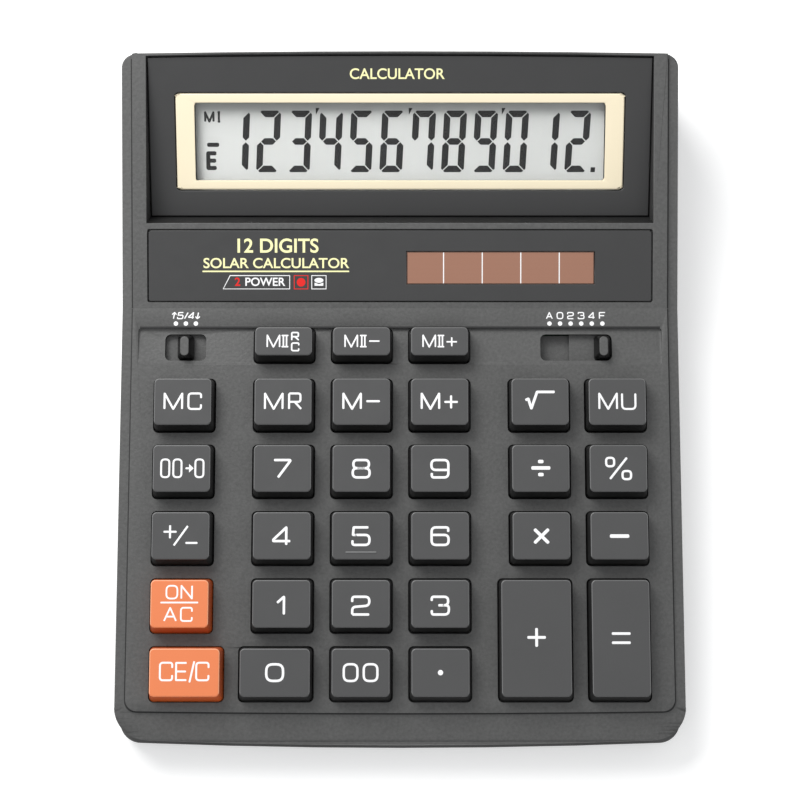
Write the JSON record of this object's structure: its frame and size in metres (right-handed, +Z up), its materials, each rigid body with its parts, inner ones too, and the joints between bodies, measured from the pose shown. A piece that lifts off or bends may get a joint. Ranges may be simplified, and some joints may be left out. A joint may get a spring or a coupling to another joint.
{
  "type": "desktop calculator",
  "caption": "Wedge-shaped desktop calculator with sprung keys, two slide switches, a sunk tilted display, a solar panel and a sliding battery door.",
  "frame": {"origin": "on the table, under the middle of the case", "axes": "+X to the right of the user, +Y to the back (display end), +Z up"},
  "size_m": [0.159, 0.1966, 0.0316],
  "materials": {
    "case_grey": "fine moulded grain, satin",
    "base_grey": "fine moulded grain, matt",
    "panel_dark": "very fine grain, satin",
    "border_cream": "smooth, soft gloss",
    "lens_clear": "clear, polished",
    "lcd_face": "smooth, matt polariser",
    "lcd_ink": "dark liquid-crystal segments",
    "lcd_foil": "satin foil",
    "ribbon_film": "smooth film",
    "solar_glass": "smooth, brown cells with pale gaps",
    "board_green": "solder mask",
    "resin_black": "cast resin",
    "keypad_rubber": "matt",
    "key_grey": "fine grain, worn satin on the faces",
    "key_orange": "smooth satin",
    "legend_white": "printed or moulded marks",
    "legend_yellow": "printed marks",
    "legend_red": "printed marks",
    "foot_rubber": "matt",
    "screw_steel": "zinc plated",
    "cell_steel": "plated can",
    "contact_steel": "spring strip",
    "wiper_brass": "spring strip"
  },
  "bodies": {
    "case": {"top_case": "case_grey", "bottom_case": "base_grey", "display_plate": "panel_dark", "lens_border": "border_cream", "display_lens": "lens_clear", "lcd_glass": "lcd_face", "lcd_reflector": "lcd_foil", "lcd_ribbon": "ribbon_film", "solar_plate": "panel_dark", "solar_cell": "solar_glass", "circuit_board": "board_green", "controller_blob": "resin_black", "rubber_keypad": "keypad_rubber", "button_cell": "cell_steel", "contact_minus": "contact_steel", "contact_plus": "contact_steel", "foot_front_left": "foot_rubber", "foot_front_right": "foot_rubber", "foot_rear_left": "foot_rubber", "foot_rear_right": "foot_rubber", "case_screw_front_left": "screw_steel", "case_screw_front_right": "screw_steel", "case_screw_rear_left": "screw_steel", "case_screw_rear_right": "screw_steel"},
    "key_ce_c_body": {"key_ce_c": "key_orange"},
    "key_0_body": {"key_0": "key_grey"},
    "key_00_body": {"key_00": "key_grey"},
    "key_point_body": {"key_point": "key_grey"},
    "key_plus_body": {"key_plus": "key_grey"},
    "key_equals_body": {"key_equals": "key_grey"},
    "key_on_ac_body": {"key_on_ac": "key_orange"},
    "key_1_body": {"key_1": "key_grey"},
    "key_2_body": {"key_2": "key_grey"},
    "key_3_body": {"key_3": "key_grey"},
    "key_sign_body": {"key_sign": "key_grey"},
    "key_4_body": {"key_4": "key_grey"},
    "key_5_body": {"key_5": "key_grey"},
    "key_6_body": {"key_6": "key_grey"},
    "key_multiply_body": {"key_multiply": "key_grey"},
    "key_minus_body": {"key_minus": "key_grey"},
    "key_shift_body": {"key_shift": "key_grey"},
    "key_7_body": {"key_7": "key_grey"},
    "key_8_body": {"key_8": "key_grey"},
    "key_9_body": {"key_9": "key_grey"},
    "key_divide_body": {"key_divide": "key_grey"},
    "key_percent_body": {"key_percent": "key_grey"},
    "key_mc_body": {"key_mc": "key_grey"},
    "key_mr_body": {"key_mr": "key_grey"},
    "key_m_minus_body": {"key_m_minus": "key_grey"},
    "key_m_plus_body": {"key_m_plus": "key_grey"},
    "key_sqrt_body": {"key_sqrt": "key_grey"},
    "key_mu_body": {"key_mu": "key_grey"},
    "key_mii_rc_body": {"key_mii_rc": "key_grey"},
    "key_mii_minus_body": {"key_mii_minus": "key_grey"},
    "key_mii_plus_body": {"key_mii_plus": "key_grey"},
    "decimal_slider": {"decimal_knob": "case_grey", "decimal_wiper": "wiper_brass"},
    "rounding_slider": {"rounding_knob": "case_grey", "rounding_wiper": "wiper_brass"},
    "door": {"battery_door": "base_grey"}
  },
  "joints": [
    {"name": "door_slide", "type": "slide", "parent": "case", "child": "door", "axis": [0, 1, 0], "range_m": [0, 0.026]},
    {"name": "rounding_slide", "type": "slide", "parent": "case", "child": "rounding_slider", "axis": [1, 0, 0], "range_m": [-0.00285, 0.00285]},
    {"name": "decimal_slide", "type": "slide", "parent": "case", "child": "decimal_slider", "axis": [1, 0, 0], "range_m": [-0.0151, 0]},
    {"name": "press_ce_c", "type": "slide", "parent": "case", "child": "key_ce_c_body", "axis": [0, 0.0436, -0.999], "range_m": [0, 0.0016], "stiffness_N_per_m": 350, "springref_m": -0.0004, "deforming": ["rubber_keypad"]},
    {"name": "press_0", "type": "slide", "parent": "case", "child": "key_0_body", "axis": [0, 0.0436, -0.999], "range_m": [0, 0.0016], "stiffness_N_per_m": 350, "springref_m": -0.0004, "deforming": ["rubber_keypad"]},
    {"name": "press_00", "type": "slide", "parent": "case", "child": "key_00_body", "axis": [0, 0.0436, -0.999], "range_m": [0, 0.0016], "stiffness_N_per_m": 350, "springref_m": -0.0004, "deforming": ["rubber_keypad"]},
    {"name": "press_point", "type": "slide", "parent": "case", "child": "key_point_body", "axis": [0, 0.0436, -0.999], "range_m": [0, 0.0016], "stiffness_N_per_m": 350, "springref_m": -0.0004, "deforming": ["rubber_keypad"]},
    {"name": "press_plus", "type": "slide", "parent": "case", "child": "key_plus_body", "axis": [0, 0.0436, -0.999], "range_m": [0, 0.0016], "stiffness_N_per_m": 350, "springref_m": -0.0004, "deforming": ["rubber_keypad"]},
    {"name": "press_equals", "type": "slide", "parent": "case", "child": "key_equals_body", "axis": [0, 0.0436, -0.999], "range_m": [0, 0.0016], "stiffness_N_per_m": 350, "springref_m": -0.0004, "deforming": ["rubber_keypad"]},
    {"name": "press_on_ac", "type": "slide", "parent": "case", "child": "key_on_ac_body", "axis": [0, 0.0436, -0.999], "range_m": [0, 0.0016], "stiffness_N_per_m": 350, "springref_m": -0.0004, "deforming": ["rubber_keypad"]},
    {"name": "press_1", "type": "slide", "parent": "case", "child": "key_1_body", "axis": [0, 0.0436, -0.999], "range_m": [0, 0.0016], "stiffness_N_per_m": 350, "springref_m": -0.0004, "deforming": ["rubber_keypad"]},
    {"name": "press_2", "type": "slide", "parent": "case", "child": "key_2_body", "axis": [0, 0.0436, -0.999], "range_m": [0, 0.0016], "stiffness_N_per_m": 350, "springref_m": -0.0004, "deforming": ["rubber_keypad"]},
    {"name": "press_3", "type": "slide", "parent": "case", "child": "key_3_body", "axis": [0, 0.0436, -0.999], "range_m": [0, 0.0016], "stiffness_N_per_m": 350, "springref_m": -0.0004, "deforming": ["rubber_keypad"]},
    {"name": "press_sign", "type": "slide", "parent": "case", "child": "key_sign_body", "axis": [0, 0.0436, -0.999], "range_m": [0, 0.0016], "stiffness_N_per_m": 350, "springref_m": -0.0004, "deforming": ["rubber_keypad"]},
    {"name": "press_4", "type": "slide", "parent": "case", "child": "key_4_body", "axis": [0, 0.0436, -0.999], "range_m": [0, 0.0016], "stiffness_N_per_m": 350, "springref_m": -0.0004, "deforming": ["rubber_keypad"]},
    {"name": "press_5", "type": "slide", "parent": "case", "child": "key_5_body", "axis": [0, 0.0436, -0.999], "range_m": [0, 0.0016], "stiffness_N_per_m": 350, "springref_m": -0.0004, "deforming": ["rubber_keypad"]},
    {"name": "press_6", "type": "slide", "parent": "case", "child": "key_6_body", "axis": [0, 0.0436, -0.999], "range_m": [0, 0.0016], "stiffness_N_per_m": 350, "springref_m": -0.0004, "deforming": ["rubber_keypad"]},
    {"name": "press_multiply", "type": "slide", "parent": "case", "child": "key_multiply_body", "axis": [0, 0.0436, -0.999], "range_m": [0, 0.0016], "stiffness_N_per_m": 350, "springref_m": -0.0004, "deforming": ["rubber_keypad"]},
    {"name": "press_minus", "type": "slide", "parent": "case", "child": "key_minus_body", "axis": [0, 0.0436, -0.999], "range_m": [0, 0.0016], "stiffness_N_per_m": 350, "springref_m": -0.0004, "deforming": ["rubber_keypad"]},
    {"name": "press_shift", "type": "slide", "parent": "case", "child": "key_shift_body", "axis": [0, 0.0436, -0.999], "range_m": [0, 0.0016], "stiffness_N_per_m": 350, "springref_m": -0.0004, "deforming": ["rubber_keypad"]},
    {"name": "press_7", "type": "slide", "parent": "case", "child": "key_7_body", "axis": [0, 0.0436, -0.999], "range_m": [0, 0.0016], "stiffness_N_per_m": 350, "springref_m": -0.0004, "deforming": ["rubber_keypad"]},
    {"name": "press_8", "type": "slide", "parent": "case", "child": "key_8_body", "axis": [0, 0.0436, -0.999], "range_m": [0, 0.0016], "stiffness_N_per_m": 350, "springref_m": -0.0004, "deforming": ["rubber_keypad"]},
    {"name": "press_9", "type": "slide", "parent": "case", "child": "key_9_body", "axis": [0, 0.0436, -0.999], "range_m": [0, 0.0016], "stiffness_N_per_m": 350, "springref_m": -0.0004, "deforming": ["rubber_keypad"]},
    {"name": "press_divide", "type": "slide", "parent": "case", "child": "key_divide_body", "axis": [0, 0.0436, -0.999], "range_m": [0, 0.0016], "stiffness_N_per_m": 350, "springref_m": -0.0004, "deforming": ["rubber_keypad"]},
    {"name": "press_percent", "type": "slide", "parent": "case", "child": "key_percent_body", "axis": [0, 0.0436, -0.999], "range_m": [0, 0.0016], "stiffness_N_per_m": 350, "springref_m": -0.0004, "deforming": ["rubber_keypad"]},
    {"name": "press_mc", "type": "slide", "parent": "case", "child": "key_mc_body", "axis": [0, 0.0436, -0.999], "range_m": [0, 0.0016], "stiffness_N_per_m": 350, "springref_m": -0.0004, "deforming": ["rubber_keypad"]},
    {"name": "press_mr", "type": "slide", "parent": "case", "child": "key_mr_body", "axis": [0, 0.0436, -0.999], "range_m": [0, 0.0016], "stiffness_N_per_m": 350, "springref_m": -0.0004, "deforming": ["rubber_keypad"]},
    {"name": "press_m_minus", "type": "slide", "parent": "case", "child": "key_m_minus_body", "axis": [0, 0.0436, -0.999], "range_m": [0, 0.0016], "stiffness_N_per_m": 350, "springref_m": -0.0004, "deforming": ["rubber_keypad"]},
    {"name": "press_m_plus", "type": "slide", "parent": "case", "child": "key_m_plus_body", "axis": [0, 0.0436, -0.999], "range_m": [0, 0.0016], "stiffness_N_per_m": 350, "springref_m": -0.0004, "deforming": ["rubber_keypad"]},
    {"name": "press_sqrt", "type": "slide", "parent": "case", "child": "key_sqrt_body", "axis": [0, 0.0436, -0.999], "range_m": [0, 0.0016], "stiffness_N_per_m": 350, "springref_m": -0.0004, "deforming": ["rubber_keypad"]},
    {"name": "press_mu", "type": "slide", "parent": "case", "child": "key_mu_body", "axis": [0, 0.0436, -0.999], "range_m": [0, 0.0016], "stiffness_N_per_m": 350, "springref_m": -0.0004, "deforming": ["rubber_keypad"]},
    {"name": "press_mii_rc", "type": "slide", "parent": "case", "child": "key_mii_rc_body", "axis": [0, 0.0436, -0.999], "range_m": [0, 0.0016], "stiffness_N_per_m": 350, "springref_m": -0.0004, "deforming": ["rubber_keypad"]},
    {"name": "press_mii_minus", "type": "slide", "parent": "case", "child": "key_mii_minus_body", "axis": [0, 0.0436, -0.999], "range_m": [0, 0.0016], "stiffness_N_per_m": 350, "springref_m": -0.0004, "deforming": ["rubber_keypad"]},
    {"name": "press_mii_plus", "type": "slide", "parent": "case", "child": "key_mii_plus_body", "axis": [0, 0.0436, -0.999], "range_m": [0, 0.0016], "stiffness_N_per_m": 350, "springref_m": -0.0004, "deforming": ["rubber_keypad"]}
  ]
}
